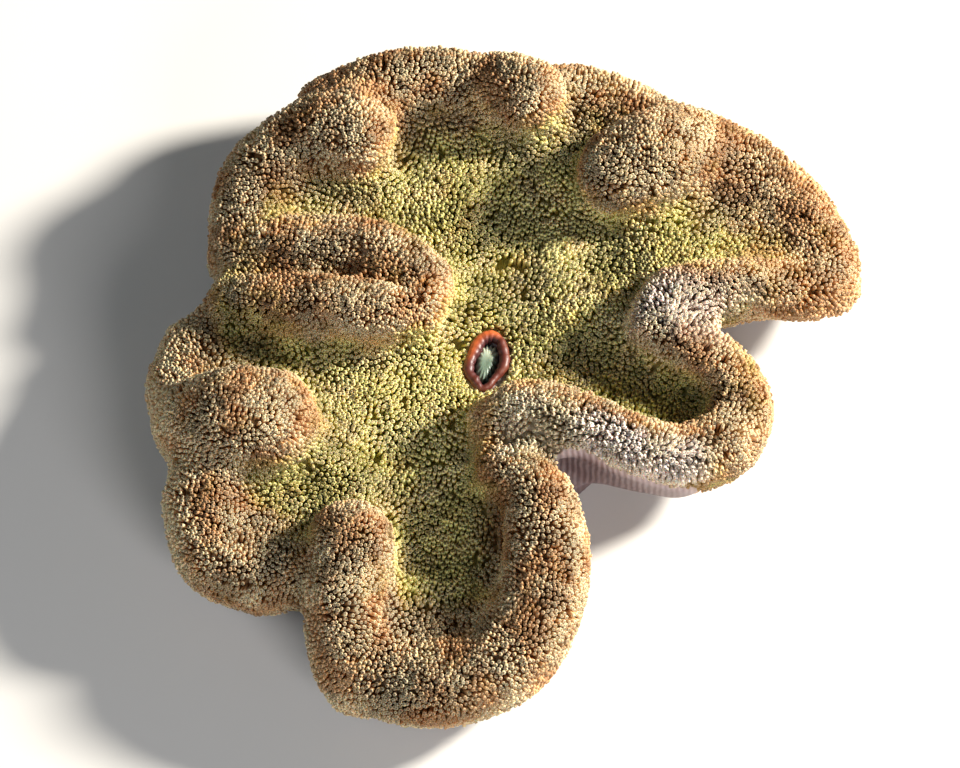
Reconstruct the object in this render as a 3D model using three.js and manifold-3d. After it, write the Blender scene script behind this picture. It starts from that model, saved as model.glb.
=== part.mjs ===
// Carpet anemone (Stichodactyla haddoni), life size, resting on its pedal disc.
// Millimetres, +Z up. The origin is the middle of the foot's flat underside, on the floor.
// +X is to the right and +Y to the back of an onlooker who stands before the long south-east fold.
//
// The animal is one soft body: a short column that widens into an oral disc, whose margin is so much
// longer than a circle's that it is thrown up into folds. The body is worked out as one smooth solid
// from a distance function, meshed, notched where two folds close on each other, and then parted by
// thin cuts into the foot, the column, the oral disc and the folds. Every surface that bears
// tentacles is drawn at the tentacles' tips.

import * as THREE from 'three';
import Module from 'manifold-3d';
import { mergeVertices } from 'three/addons/utils/BufferGeometryUtils.js';

const wasm = await Module();
wasm.setup();

// ---- Driving dimensions ----------------------------------------------------------------------

const PART_GAP = 0.3; // clear width of every cut between two nodes
const MESH_CELL = 13.4; // size of the mesher's cells, and so of the facets

const FOOT_RADIUS = 76; // pedal disc
const FOOT_HEIGHT = 8;
const BELOW_FLOOR = 7; // the body is meshed this far below the floor, then cut flat
const HUB_RADIUS = 83; // where the column and the disc are parted from the folds
const COLUMN_TOP = 33; // where the column is parted from the disc
const COLUMN_FLARE = 4; // how far the column has widened there

const DISC_HEIGHT = 50; // tips of the tentacles on the open disc, above the floor
const DISC_CLEARANCE = 58; // fold tips that overhang the disc are parted from it here

const SKIRT_INNER_HEIGHT = 24; // underside of the spreading disc, beside the column
const SKIRT_OUTER_HEIGHT = 15; // and at the margin, which droops
const SKIRT_OUTER_RADIUS = 185;

const BLEND = 13; // how softly folds run into the disc and each other
const NECK = 0.2; // how much thinner a fold's wall is than the roll along its crest
const NECK_HEIGHT = 30; // the height over which it thins

const MOUTH_LENGTH = 37; // across the lips, along the mouth's long axis
const MOUTH_WIDTH = 24;
const MOUTH_CENTRE = [0, 3];
const MOUTH_TURN = -14; // degrees from +Y to that axis
const LIP_GIRTH = 6; // thickness of the ring of lips
const LIP_HEIGHT = 48; // height of the middle of that ring
const THROAT_TOP = 47;
const THROAT_FLOOR = 38;
const THROAT_PLEATS = 7;
const THROAT_PLEAT_DEPTH = 0.2; // as a share of the throat's half-width

// Folds of the margin. Each has stations along its crest, from the root inwards or from one end to
// the other: x, y, height of the crest and half-width of its roll. lean moves the fold's foot from
// under its crest, so that the crest hangs over the disc. hem is the height of its lower edge, where
// that is well above the skirt's.
const FOLDS = {
  east_arm: {
    crest: [[188, 50, 62, 19], [168, 43, 72, 18], [138, 43, 80, 17], [104, 34, 85, 18]],
    lean: [10, 6],
    hem: 34,
  },
  south_east_arm: {
    crest: [
      [94, 17, 86, 18], [112, 4, 84, 17], [131, -10, 80, 17], [141, -30, 78, 18],
      [136, -47, 80, 18],
    ],
    lean: [0, 4],
    hem: 26,
  },
  south_east_fold: {
    crest: [
      [124, -57, 83, 18], [108, -63, 86, 18], [82, -60, 92, 18], [48, -45, 94, 18],
      [20, -37, 90, 18], [4, -42, 80, 16],
    ],
    lean: [0, 6],
    hem: 24,
  },
  south_fold: {
    crest: [
      [9, -72, 82, 18], [26, -86, 91, 21], [32, -117, 90, 25], [28, -148, 84, 25],
      [10, -176, 76, 24], [-20, -189, 68, 23], [-46, -189, 62, 22],
    ],
    lean: [6, 0],
  },
  south_west_fold: {
    crest: [[-72, -181, 60, 21], [-77, -168, 70, 22], [-77, -141, 85, 25], [-74, -114, 91, 25]],
    lean: [0, -8],
  },
  south_west_lobe: {
    crest: [[-120, -125, 66, 21], [-149, -113, 69, 22], [-158, -80, 70, 22]],
    lean: [0, 0],
  },
  west_dome: {
    crest: [[-158, -36, 78, 26], [-138, -40, 96, 32], [-122, -41, 95, 32]],
    lean: [-10, 0],
  },
  west_margin: {
    crest: [[-172, -10, 61, 18], [-163, 12, 59, 18]],
    lean: [0, 0],
  },
  west_lower_lip: {
    crest: [[-136, 34, 76, 18], [-103, 29, 88, 18], [-62, 23, 93, 18], [-39, 25, 86, 17]],
    lean: [-10, 4],
  },
  west_upper_lip: {
    crest: [[-138, 69, 74, 17], [-103, 68, 83, 16], [-58, 62, 87, 16], [-33, 44, 84, 16]],
    lean: [-8, 0],
  },
  north_west_dome: {
    crest: [[-133, 95, 70, 22], [-126, 112, 77, 23], [-103, 128, 86, 25], [-76, 132, 99, 27]],
    lean: [-8, 0],
  },
  north_crest: {
    crest: [[-87, 158, 70, 20], [-56, 167, 80, 20], [-26, 171, 79, 20], [-3, 168, 76, 18]],
    lean: [0, 4],
  },
  north_bump: {
    crest: [[14, 160, 90, 22], [22, 155, 94, 24]],
    lean: [-3, 8],
  },
  north_east_margin: {
    crest: [[46, 168, 64, 19], [76, 157, 65, 19], [102, 141, 66, 20]],
    lean: [0, 0],
  },
  north_east_knob: {
    crest: [[126, 128, 72, 22], [114, 126, 86, 25], [93, 116, 102, 28], [76, 107, 99, 28]],
    lean: [14, 12],
  },
  east_margin: {
    crest: [[146, 120, 66, 21], [171, 97, 65, 21], [187, 70, 62, 20]],
    lean: [0, 0],
  },
};

// Open valleys between the folds, each a flat pad of the disc: x, y, radius, height.
const VALLEYS = {
  middle: [0, 0, 60, DISC_HEIGHT],
  north: [-18, 105, 76, DISC_HEIGHT + 2],
  north_west: [-100, 98, 42, 58],
  north_east: [60, 134, 42, 56],
  east: [126, 84, 52, 58],
  east_middle: [72, 56, 44, DISC_HEIGHT + 4],
  east_inner: [70, -10, 44, DISC_HEIGHT],
  east_corner: [104, -28, 32, DISC_HEIGHT],
  south: [-34, -112, 54, DISC_HEIGHT - 2],
  south_end: [-34, -160, 34, 52],
  south_west_inner: [-52, -42, 50, DISC_HEIGHT],
  south_west: [-104, -86, 46, 54],
  west: [-104, 2, 54, 52],
  west_end: [-144, 6, 32, 54],
};

// Parting cuts between neighbouring folds, in order round the disc: plan points from the mouth out.
// Each sector between one cut and the next is a node, named for the fold that it holds.
const SEAMS = [
  { next: 'east_arm', cut: [[20, 5], [72, 20], [98, 26], [128, 18], [270, 2]] },
  { next: 'east_field', cut: [[20, 12], [64, 36], [107, 66], [160, 67], [205, 60], [280, 62]] },
  { next: 'north_east_knob', cut: [[16, 16], [52, 52], [100, 74], [128, 98], [138, 130], [200, 200]] },
  { next: 'north_crest', cut: [[8, 20], [28, 68], [38, 104], [58, 146], [104, 255]] },
  {
    next: 'north_west_dome',
    cut: [
      [-2, 22], [-4, 62], [-42, 112], [-56, 146], [-100, 146],
      [-118, 161], [-190, 220],
    ],
  },
  {
    next: 'west_fold',
    cut: [
      [-4, 22], [-10, 58], [-36, 78], [-64, 89], [-100, 90],
      [-136, 82], [-270, 100],
    ],
  },
  { next: 'west_dome', cut: [[-20, 2], [-70, 0], [-122, 6], [-140, 18], [-158, 31], [-270, 50]] },
  { next: 'south_west_lobe', cut: [[-20, -6], [-68, -30], [-108, -76], [-150, -64], [-270, -66]] },
  { next: 'south_west_fold', cut: [[-22, -12], [-54, -52], [-94, -100], [-104, -136], [-126, -250]] },
  {
    next: 'south_fold',
    cut: [
      [-20, -16], [-38, -42], [-40, -72], [-42, -130], [-54, -170],
      [-58, -270],
    ],
  },
  {
    next: 'south_east_fold',
    cut: [
      [-16, -18], [-27, -36], [-24, -50], [0, -60], [18, -57],
      [34, -65], [56, -84], [130, -150],
    ],
  },
  { next: 'south_east_arm', cut: [[20, -6], [70, -18], [106, -34], [250, -104]] },
];

// Where the margin turns back on itself, two rolls lie against each other with a slit between them.
// Each slit: plan points from outside the body inwards, height of its floor, and its width at floor
// and crest.
const SLITS = [
  {
    path: [[-200, 62], [-140, 50], [-103, 48], [-68, 42], [-44, 35]],
    floor: 56,
    narrow: 2.5,
    wide: 9,
  },
  {
    path: [[110, -130], [56, -84], [34, -65], [18, -57], [0, -60]],
    floor: 46,
    narrow: 4,
    wide: 8,
  },
];
const SLIT_TOP = 108; // above every crest

// ---- The body as a distance function ---------------------------------------------------------

const mix = (a, b, t) => a + (b - a) * t;
const clamp = (v, low, high) => Math.min(Math.max(v, low), high);
const ease = (t) => {
  const c = clamp(t, 0, 1);
  return c * c * (3 - 2 * c);
};

// Smooth minimum and maximum, which round the join over a width k.
const blendMin = (a, b, k) => {
  const h = Math.max(k - Math.abs(a - b), 0) / k;
  return Math.min(a, b) - (h * h * k) / 4;
};
const blendMax = (a, b, k) => -blendMin(-a, -b, k);

// Height of the underside of the spreading disc.
function skirtHeight(x, y) {
  const t = (Math.hypot(x, y) - FOOT_RADIUS) / (SKIRT_OUTER_RADIUS - FOOT_RADIUS);
  return mix(SKIRT_INNER_HEIGHT, SKIRT_OUTER_HEIGHT, ease(t));
}

// A fold's crest as short straight lengths, each with its ends' place, axis height and half-width.
const STEPS_PER_STATION = 4;
function crestLengths({ crest, lean, hem = 0 }) {
  const curve = new THREE.CatmullRomCurve3(
    crest.map(([x, y, top, half]) => new THREE.Vector3(x, y, top - half)),
  );
  const steps = (crest.length - 1) * STEPS_PER_STATION;
  const marks = Array.from({ length: steps + 1 }, (_, i) => {
    const t = i / steps;
    const station = Math.min(Math.floor(t * (crest.length - 1)), crest.length - 2);
    const part = t * (crest.length - 1) - station;
    const half = mix(crest[station][3], crest[station + 1][3], part);
    const at = curve.getPoint(t);
    return { x: at.x, y: at.y, axis: at.z, half };
  });
  return marks.slice(1).map((end, i) => ({ from: marks[i], to: end, lean, hem }));
}

function lengthDistance({ from, to, lean, hem }, x, y, z, skirt) {
  const axisGuess = (from.axis + to.axis) / 2;
  const down = clamp((axisGuess - z) / axisGuess, 0, 1);
  const px = x - lean[0] * down;
  const py = y - lean[1] * down;
  const dx = to.x - from.x;
  const dy = to.y - from.y;
  const t = clamp(((px - from.x) * dx + (py - from.y) * dy) / (dx * dx + dy * dy), 0, 1);
  const axis = mix(from.axis, to.axis, t);
  const half = mix(from.half, to.half, t) * (1 - NECK * ease((axis - z) / NECK_HEIGHT));
  const aside = Math.hypot(px - mix(from.x, to.x, t), py - mix(from.y, to.y, t));
  const low = Math.min(Math.max(skirt, hem) + half, axis);
  return Math.hypot(aside, z - clamp(z, low, axis)) - half;
}

const FOLD_LENGTHS = Object.values(FOLDS).map(crestLengths);

function bodyDistance(x, y, z) {
  const skirt = skirtHeight(x, y);
  const reach = Math.hypot(x, y);
  const wall = reach - FOOT_RADIUS - COLUMN_FLARE * clamp(z / COLUMN_TOP, 0, 1) ** 2;
  let body = Math.max(wall, z - COLUMN_TOP, -BELOW_FLOOR - z);
  for (const [vx, vy, radius, top] of Object.values(VALLEYS)) {
    const rim = Math.hypot(x - vx, y - vy) - radius;
    const pad = blendMax(blendMax(rim, z - top, BLEND), skirt - z, BLEND);
    body = blendMin(body, pad, BLEND);
  }
  for (const lengths of FOLD_LENGTHS) {
    let fold = Infinity;
    for (const length of lengths) fold = Math.min(fold, lengthDistance(length, x, y, z, skirt));
    body = blendMin(body, fold, BLEND);
  }
  return body;
}

// ---- Meshing ---------------------------------------------------------------------------------

// A cell's corners are numbered by their bits: 1 for x, 2 for y, 4 for z. An edge is its low corner
// and the bit along which it runs, as one number.
const edgeOf = (a, b) => Math.min(a, b) * 8 + (a ^ b);
const CELL_EDGES = [];
for (let a = 0; a < 8; a++) {
  for (const bit of [1, 2, 4]) if (!(a & bit)) CELL_EDGES.push([a, a | bit]);
}
const CELL_FACES = [];
const AXES = [[1, 2, 4], [2, 4, 1], [4, 1, 2]]; // each bit with the two that follow it
for (const [bit, u, v] of AXES) {
  for (const side of [0, bit]) CELL_FACES.push([side, side | u, side | u | v, side | v]);
}

// Groups the crossed edges of one cell into the rings that pieces of surface make through it.
function surfaceRings(inside) {
  const ring = new Map();
  for (const [a, b] of CELL_EDGES) {
    if (inside(a) !== inside(b)) ring.set(edgeOf(a, b), edgeOf(a, b));
  }
  const join = (e, f) => {
    const [keep, drop] = [ring.get(e), ring.get(f)];
    for (const [edge, id] of ring) if (id === drop) ring.set(edge, keep);
  };
  for (const face of CELL_FACES) {
    const edges = face.map((a, i) => edgeOf(a, face[(i + 1) % 4]));
    const crossed = edges.filter((e) => ring.has(e));
    if (crossed.length === 2) join(crossed[0], crossed[1]);
    if (crossed.length === 4) face.forEach((a, i) => inside(a) && join(edges[(i + 3) % 4], edges[i]));
  }
  return ring;
}

// Net of quads with a vertex for each ring of each cell, moved on to the surface.
function meshOf(distance, low, high, cell) {
  const count = low.map((v, i) => Math.ceil((high[i] - v) / cell) + 1);
  const corner = (i, j, k) => (k * count[1] + j) * count[0] + i;
  const field = new Float64Array(count[0] * count[1] * count[2]);
  const everyCell = (visit) => {
    for (let k = 0; k < count[2] - 1; k++) {
      for (let j = 0; j < count[1] - 1; j++) {
        for (let i = 0; i < count[0] - 1; i++) visit(i, j, k);
      }
    }
  };
  for (let k = 0; k < count[2]; k++) {
    for (let j = 0; j < count[1]; j++) {
      for (let i = 0; i < count[0]; i++) {
        field[corner(i, j, k)] = distance(low[0] + i * cell, low[1] + j * cell, low[2] + k * cell);
      }
    }
  }

  const vertexOf = new Map();
  const positions = [];
  everyCell((i, j, k) => {
    const value = (c) => field[corner(i + (c & 1), j + ((c >> 1) & 1), k + ((c >> 2) & 1))];
    const ring = surfaceRings((c) => value(c) < 0);
    for (const id of new Set(ring.values())) {
      const middle = new THREE.Vector3();
      const edges = [...ring.keys()].filter((edge) => ring.get(edge) === id);
      for (const edge of edges) {
        const [a, b] = [edge >> 3, (edge >> 3) | (edge & 7)];
        const t = value(a) / (value(a) - value(b));
        middle.x += mix(a & 1, b & 1, t) / edges.length;
        middle.y += mix((a >> 1) & 1, (b >> 1) & 1, t) / edges.length;
        middle.z += mix((a >> 2) & 1, (b >> 2) & 1, t) / edges.length;
        vertexOf.set(corner(i, j, k) * 64 + edge, positions.length / 3);
      }
      const place = new THREE.Vector3(i, j, k).add(middle).multiplyScalar(cell);
      settle(distance, place.add(new THREE.Vector3(...low)), cell);
      positions.push(...place.toArray());
    }
  });

  const index = [];
  const point = (v) => new THREE.Vector3().fromArray(positions, v * 3);
  const quad = (v) => {
    const shortFirst = point(v[0]).distanceTo(point(v[2])) <= point(v[1]).distanceTo(point(v[3]));
    const turned = shortFirst ? v : [v[1], v[2], v[3], v[0]];
    for (const c of [0, 1, 2, 0, 2, 3]) index.push(turned[c]);
  };
  everyCell((i, j, k) => {
    const inside = field[corner(i, j, k)] < 0;
    for (const [bit, u, v] of AXES) {
      const end = corner(i + (bit & 1), j + ((bit >> 1) & 1), k + ((bit >> 2) & 1));
      if (inside === field[end] < 0) continue;
      // The four cells round this edge see it from their own corners.
      const round = [u | v, v, 0, u].map((c) => {
        const own = corner(i - (c & 1), j - ((c >> 1) & 1), k - ((c >> 2) & 1));
        return vertexOf.get(own * 64 + edgeOf(c, c | bit));
      });
      quad(inside ? round : round.reverse());
    }
  });
  return { vertProperties: new Float32Array(positions), triVerts: new Uint32Array(index) };
}

// Moves a point down or up the slope of the distance function on to the surface.
function settle(distance, p, cell) {
  const probe = 0.5;
  const turns = 4;
  const leastSlope = 0.1;
  const start = p.clone();
  for (let turn = 0; turn < turns; turn++) {
    const d = distance(p.x, p.y, p.z);
    const slope = new THREE.Vector3(
      distance(p.x + probe, p.y, p.z) - distance(p.x - probe, p.y, p.z),
      distance(p.x, p.y + probe, p.z) - distance(p.x, p.y - probe, p.z),
      distance(p.x, p.y, p.z + probe) - distance(p.x, p.y, p.z - probe),
    ).divideScalar(2 * probe);
    p.addScaledVector(slope, -d / Math.max(slope.lengthSq(), leastSlope));
  }
  const move = p.clone().sub(start);
  if (move.length() > cell / 2) p.copy(start).add(move.setLength(cell / 2));
}

const solidFrom = (data) => new wasm.Manifold(new wasm.Mesh({ numProp: 3, ...data }));

// ---- Tools for cutting -----------------------------------------------------------------------

// A three.js geometry as a solid.
function solidOf(geometry) {
  const sameVertex = 1e-4;
  const bare = geometry.clone();
  bare.deleteAttribute('normal');
  bare.deleteAttribute('uv');
  const merged = mergeVertices(bare, sameVertex);
  return solidFrom({
    vertProperties: new Float32Array(merged.attributes.position.array),
    triVerts: new Uint32Array(merged.index.array),
  });
}

// An upright prism on a plan outline, between two heights.
function prism(outline, low, high) {
  const shape = new THREE.Shape(outline.map(([x, y]) => new THREE.Vector2(x, y)));
  const geometry = new THREE.ExtrudeGeometry(shape, { depth: high - low, bevelEnabled: false });
  return solidOf(geometry.translate(0, 0, low));
}

const DRUM_SIDES = 24;
const drum = (radius, low, high) =>
  solidOf(
    new THREE.CylinderGeometry(radius, radius, high - low, DRUM_SIDES)
      .rotateX(Math.PI / 2)
      .translate(0, 0, (low + high) / 2),
  );

// Plan outline of a wall of one thickness along a path.
function wallOutline(path, thickness) {
  const points = path.map(([x, y]) => new THREE.Vector2(x, y));
  const sideways = points.map((p, i) => {
    const before = points[Math.max(i - 1, 0)];
    const after = points[Math.min(i + 1, points.length - 1)];
    const along = after.clone().sub(before).normalize();
    return new THREE.Vector2(-along.y, along.x).multiplyScalar(thickness / 2);
  });
  const left = points.map((p, i) => p.clone().add(sideways[i]).toArray());
  const right = points.map((p, i) => p.clone().sub(sideways[i]).toArray());
  return [...left, ...right.reverse()];
}

// A slit's blade: a section that is narrow at the floor and widens to the crest, run along the path.
function blade({ path, floor, narrow, wide }) {
  const curve = new THREE.CatmullRomCurve3(path.map(([x, y]) => new THREE.Vector3(x, y, floor)));
  const height = SLIT_TOP - floor;
  const section = new THREE.Shape([
    new THREE.Vector2(0, -narrow / 2),
    new THREE.Vector2(0, narrow / 2),
    new THREE.Vector2(-height, wide / 2),
    new THREE.Vector2(-height, -wide / 2),
  ]);
  return solidOf(new THREE.ExtrudeGeometry(section, { steps: path.length * 2, extrudePath: curve }));
}

// ---- The body, cut and parted ----------------------------------------------------------------

const GRID_LOW = [-225, -235, -18]; // the mesher's grid holds the whole body
const GRID_HIGH = [235, 225, 130];
const REACH = 320; // a radius beyond the whole body
const TOP = GRID_HIGH[2];
const BELOW = -1; // just under the floor

let whole = solidFrom(meshOf(bodyDistance, GRID_LOW, GRID_HIGH, MESH_CELL));
whole = whole.intersect(drum(REACH, 0, TOP));
for (const slit of SLITS) whole = whole.subtract(blade(slit));

const foot = whole.intersect(drum(HUB_RADIUS, 0, FOOT_HEIGHT));
const column = whole.intersect(drum(HUB_RADIUS, FOOT_HEIGHT + PART_GAP, COLUMN_TOP));
let disc = whole.intersect(drum(HUB_RADIUS, COLUMN_TOP + PART_GAP, DISC_CLEARANCE));

// The mouth: an oval pit in the disc, with swollen lips round its edge and the throat's pleated wall
// standing in it. Sizes are half-widths across and along the oval.
const lipLine = [MOUTH_WIDTH, MOUTH_LENGTH].map((size) => (size - LIP_GIRTH) / 2);
const inMouth = (geometry) =>
  solidOf(geometry.rotateZ(THREE.MathUtils.degToRad(MOUTH_TURN)).translate(...MOUTH_CENTRE, 0));

const OVAL_CORNERS = 20;
const CORNERS_PER_PLEAT = 4;
function ovalShape(grow, pleats = 0) {
  const corners = pleats ? pleats * CORNERS_PER_PLEAT : OVAL_CORNERS;
  return new THREE.Shape(
    Array.from({ length: corners }, (_, i) => {
      const angle = (i / corners) * 2 * Math.PI;
      const share = 1 - THROAT_PLEAT_DEPTH * (pleats ? (1 - Math.cos(pleats * angle)) / 2 : 0);
      const [across, along] = lipLine.map((half) => (half + grow) * share);
      return new THREE.Vector2(across * Math.cos(angle), along * Math.sin(angle));
    }),
  );
}

function ovalPlug(grow, low, high, pleats) {
  const options = { depth: high - low, bevelEnabled: false };
  return inMouth(new THREE.ExtrudeGeometry(ovalShape(grow, pleats), options).translate(0, 0, low));
}

// A ring of even girth along the lip line.
const LIP_SIDES = 6;
function lipRing(grow) {
  const ring = new THREE.TorusGeometry(1, 0.5, LIP_SIDES, OVAL_CORNERS);
  const place = ring.attributes.position;
  for (let i = 0; i < place.count; i++) {
    const angle = Math.atan2(place.getY(i), place.getX(i));
    const girth = LIP_GIRTH + 2 * grow;
    const out = (Math.hypot(place.getX(i), place.getY(i)) - 1) * girth;
    const [across, along] = lipLine.map((half) => half + out);
    place.setXYZ(i, across * Math.cos(angle), along * Math.sin(angle), place.getZ(i) * girth);
  }
  return inMouth(ring.translate(0, 0, LIP_HEIGHT));
}

const throatRoom = -LIP_GIRTH / 2 - PART_GAP; // inside the ring of lips
const lips = lipRing(0);
const throat = ovalPlug(throatRoom, THROAT_FLOOR, THROAT_TOP, THROAT_PLEATS);
disc = disc
  .subtract(ovalPlug(throatRoom + PART_GAP, THROAT_FLOOR - PART_GAP, TOP))
  .subtract(ovalPlug(0, LIP_HEIGHT, TOP))
  .subtract(lipRing(PART_GAP));

let folds = whole.subtract(drum(HUB_RADIUS + PART_GAP, BELOW, DISC_CLEARANCE + PART_GAP));
for (const { cut } of SEAMS) folds = folds.subtract(prism(wallOutline(cut, PART_GAP), BELOW, TOP));

// ---- The finished group ----------------------------------------------------------------------

const FLESH = {
  foot: { color: 0x8a7078, roughness: 0.7 }, // mauve grey underside
  column: { color: 0x9a808a, roughness: 0.65 },
  disc: { color: 0xa59646, roughness: 0.6 }, // olive yellow
  folds: { color: 0xa9714c, roughness: 0.6 }, // rust brown
  pale: { color: 0xb59a86, roughness: 0.6 }, // lilac grey over rust
  lips: { color: 0xb4502a, roughness: 0.4 }, // orange red
  throat: { color: 0xc8cbb4, roughness: 0.4 },
};
const PALE_FOLDS = ['east_arm', 'south_east_arm', 'south_east_fold'];

const anemone = new THREE.Group();

function addNode(name, solid, look) {
  const { vertProperties, triVerts, numProp, numVert } = solid.getMesh();
  const places = new Float32Array(numVert * 3);
  for (let i = 0; i < numVert; i++) {
    places.set(vertProperties.subarray(i * numProp, i * numProp + 3), i * 3);
  }
  const geometry = new THREE.BufferGeometry();
  geometry.setAttribute('position', new THREE.BufferAttribute(places, 3));
  geometry.setIndex(new THREE.BufferAttribute(triVerts, 1));
  geometry.computeVertexNormals();
  const mesh = new THREE.Mesh(geometry, new THREE.MeshStandardMaterial({ ...look, metalness: 0 }));
  mesh.name = name;
  anemone.add(mesh);
}

addNode('foot', foot, FLESH.foot);
addNode('column', column, FLESH.column);
addNode('oral_disc', disc, FLESH.disc);
addNode('mouth_lips', lips, FLESH.lips);
addNode('throat', throat, FLESH.throat);
SEAMS.forEach(({ next, cut }, i) => {
  const after = SEAMS[(i + 1) % SEAMS.length].cut;
  const sector = prism([...cut, ...[...after].reverse()], BELOW, TOP);
  addNode(next, folds.intersect(sector), PALE_FOLDS.includes(next) ? FLESH.pale : FLESH.folds);
});

export default anemone;
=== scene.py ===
"""Looks of a carpet anemone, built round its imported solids.

Metres, +Z up, the origin in the middle of the foot on the floor. The solids are drawn at the tips
of the tentacles, so the skin lies inside them by the tentacles' length.
"""

import math

import bmesh
import bpy
import numpy as np
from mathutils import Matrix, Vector, noise
from mathutils.bvhtree import BVHTree
from mathutils.kdtree import KDTree


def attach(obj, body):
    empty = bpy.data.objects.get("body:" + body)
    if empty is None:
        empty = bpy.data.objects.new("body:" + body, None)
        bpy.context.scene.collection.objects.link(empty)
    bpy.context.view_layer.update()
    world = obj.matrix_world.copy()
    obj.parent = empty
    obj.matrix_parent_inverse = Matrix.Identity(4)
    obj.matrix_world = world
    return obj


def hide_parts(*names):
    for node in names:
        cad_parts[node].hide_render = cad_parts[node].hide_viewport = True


bl_info = {
    "name": "Carpet anemone",
    "version": (1, 0, 0),
    "blender": (4, 5, 0),
    "location": "View3D > Sidebar > Anemone",
    "description": "Skin, tentacles, mouth and stage of a carpet anemone",
    "category": "Object",
}

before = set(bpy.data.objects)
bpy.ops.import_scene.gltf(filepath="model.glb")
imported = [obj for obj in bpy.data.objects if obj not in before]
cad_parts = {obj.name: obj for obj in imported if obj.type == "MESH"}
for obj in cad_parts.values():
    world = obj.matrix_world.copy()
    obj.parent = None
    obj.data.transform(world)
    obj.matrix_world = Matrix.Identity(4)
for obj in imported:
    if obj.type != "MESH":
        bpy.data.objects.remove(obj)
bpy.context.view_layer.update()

MM = 0.001
MOUTH_NODES = ("mouth_lips", "throat")
FLESH_NODES = sorted(set(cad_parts) - set(MOUTH_NODES))

# The mouth's oval: centre, turn from +Y, and half-widths across and along the line of the lips.
MOUTH_CENTRE = Vector((0.0, 3 * MM, 48 * MM))
MOUTH_TURN = math.radians(-14)
LIP_ACROSS = 9 * MM
LIP_ALONG = 15.5 * MM
LIP_GIRTH = 6 * MM


# ---- What a user may change ------------------------------------------------------------------


class CoatSizes(bpy.types.PropertyGroup):
    """Sizes of the coat of tentacles"""

    length: bpy.props.FloatProperty(
        name="Tentacle length",
        description="From the skin to the tip",
        default=0.0076,
        unit="LENGTH",
    )
    spacing: bpy.props.FloatProperty(
        name="Spacing",
        description="Distance between neighbouring tips",
        default=0.0027,
        unit="LENGTH",
    )
    knob: bpy.props.FloatProperty(
        name="Knob radius",
        description="Widest radius of the knob at a tentacle's tip",
        default=0.00114,
        unit="LENGTH",
    )
    stem: bpy.props.FloatProperty(
        name="Stem radius",
        description="Radius of a tentacle's stem at its root",
        default=0.00102,
        unit="LENGTH",
    )
    seed: bpy.props.IntProperty(
        name="Seed", description="Fixes the tentacles' places and leans", default=7, min=1
    )


def colour_prop(name, description, default):
    return bpy.props.FloatVectorProperty(
        name=name,
        description=description,
        subtype="COLOR",
        size=3,
        min=0.0,
        max=1.0,
        default=default,
    )


class FleshColours(bpy.types.PropertyGroup):
    """Colours of the flesh"""

    valley: colour_prop("Valleys", "Tips on the open disc and in the valleys", (0.68, 0.63, 0.22))
    crest: colour_prop("Crests", "Tips on the folds' crests and the margin", (0.47, 0.225, 0.085))
    gold: colour_prop("Gold", "Tips on the slopes between the two", (0.56, 0.38, 0.10))
    # Cream is also painted as light on the western edge, the highest crests and the long fold's
    # face.
    cream: colour_prop("Cream", "Palest tips and radial streaks", (0.68, 0.59, 0.37))
    lilac: colour_prop("Lilac", "Matted tips of the eastern folds", (0.90, 0.78, 0.70))
    stem: colour_prop("Stems", "Stems and skin under the crests' tips", (0.77, 0.40, 0.15))
    moss: colour_prop("Moss", "Stems and skin in the valleys", (0.70, 0.60, 0.15))
    # Mauve is also dimmed as painted shade at the tentacles' roots and below the bare band.
    mauve: colour_prop("Underside", "Bare underside, column and foot", (0.46, 0.35, 0.35))
    lips: colour_prop("Lips", "Lips of the mouth", (0.62, 0.13, 0.03))
    throat: colour_prop("Throat", "Pleats of the throat", (0.55, 0.60, 0.45))
    # Maroon is also painted as shade below the bare band and on the lips' shaded side.
    maroon: colour_prop("Maroon", "Inner edge of the lips", (0.07, 0.012, 0.012))


class StageSettings(bpy.types.PropertyGroup):
    """Floor, light and camera"""

    floor: colour_prop("Floor", "Plain floor", (0.72, 0.70, 0.66))
    key: bpy.props.FloatProperty(
        name="Key light", description="Power of the main light", default=215.0, unit="POWER"
    )
    sky: bpy.props.FloatProperty(
        name="Sky", description="Strength of the even light all round", default=0.06
    )
    elevation: bpy.props.FloatProperty(
        name="Camera elevation",
        description="Angle of the camera's view above the floor",
        default=math.radians(65),
        subtype="ANGLE",
    )
    distance: bpy.props.FloatProperty(
        name="Camera distance", description="From the disc", default=6.0, unit="LENGTH"
    )


# ---- Mesh tools ------------------------------------------------------------------------------


def clear_selection():
    if bpy.context.object and bpy.context.object.mode != "OBJECT":
        bpy.ops.object.mode_set(mode="OBJECT")
    bpy.ops.object.select_all(action="DESELECT")


def pick(*objects):
    clear_selection()
    for obj in objects:
        obj.select_set(True)
    bpy.context.view_layer.objects.active = objects[0]


def ramp(low, high, value):
    """Smooth step from 0 at low to 1 at high"""
    t = np.clip((np.asarray(value, float) - low) / (high - low), 0.0, 1.0)
    return t * t * (3 - 2 * t)


def between(rise, fall, value):
    """Smooth step up over the span rise and down again over the span fall"""
    return ramp(*rise, value) * (1 - ramp(*fall, value))


def points_of(mesh):
    out = np.empty(len(mesh.vertices) * 3)
    mesh.vertices.foreach_get("co", out)
    return out.reshape(-1, 3)


def triangles_of(mesh):
    mesh.calc_loop_triangles()
    out = np.empty(len(mesh.loop_triangles) * 3, np.int32)
    mesh.loop_triangles.foreach_get("vertices", out)
    return out.reshape(-1, 3)


def edges_of(mesh):
    out = np.empty(len(mesh.edges) * 2, np.int32)
    mesh.edges.foreach_get("vertices", out)
    return out.reshape(-1, 2)


def gather(index, values, count):
    """Sum of the rows of values that fall on each index"""
    return np.stack([np.bincount(index, column, count) for column in values.T], axis=1)


def unit(vectors):
    return vectors / np.maximum(np.linalg.norm(vectors, axis=-1, keepdims=True), 1e-12)


def flattened(vectors, normals):
    """Vectors less what of them points along the normals"""
    return vectors - (vectors * normals).sum(1, keepdims=True) * normals


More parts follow.
